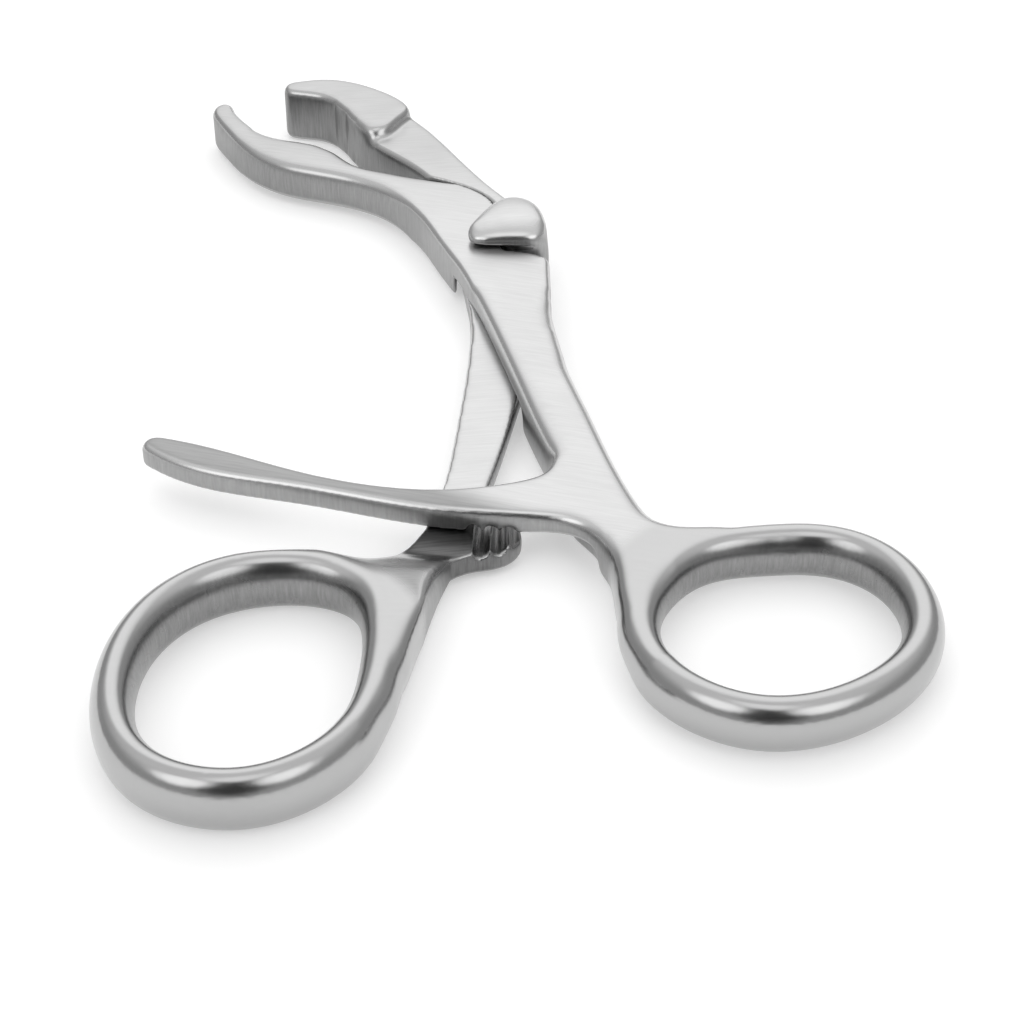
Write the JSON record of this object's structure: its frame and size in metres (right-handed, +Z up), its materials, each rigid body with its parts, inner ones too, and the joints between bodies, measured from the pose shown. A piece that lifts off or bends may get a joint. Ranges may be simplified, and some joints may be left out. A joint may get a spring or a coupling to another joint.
{
  "type": "bone holding forceps",
  "caption": "Ring-handled steel forceps with a ratchet bar, a lap joint under a raised lug and curved open jaws that grip round a bone.",
  "frame": {"origin": "on the pivot's axis, at the flat underside of the joint", "axes": "+Y from the pivot towards the jaws, +Z up through the joint towards the raised lug, +X towards the ratchet lever's ring"},
  "size_m": [0.098, 0.1689, 0.0105],
  "materials": {
    "satin_steel": "satin brushed flats, polished rings and edges"
  },
  "bodies": {
    "catch_side": {"catch_lever": "satin_steel", "pivot_pin": "satin_steel"},
    "ratchet_side": {"ratchet_lever": "satin_steel"}
  },
  "joints": [
    {"name": "pivot", "type": "hinge", "parent": "catch_side", "child": "ratchet_side", "pos_m": [0, 0, 0.0033], "axis": [0, 0, 1], "range_deg": [0, 38]}
  ]
}
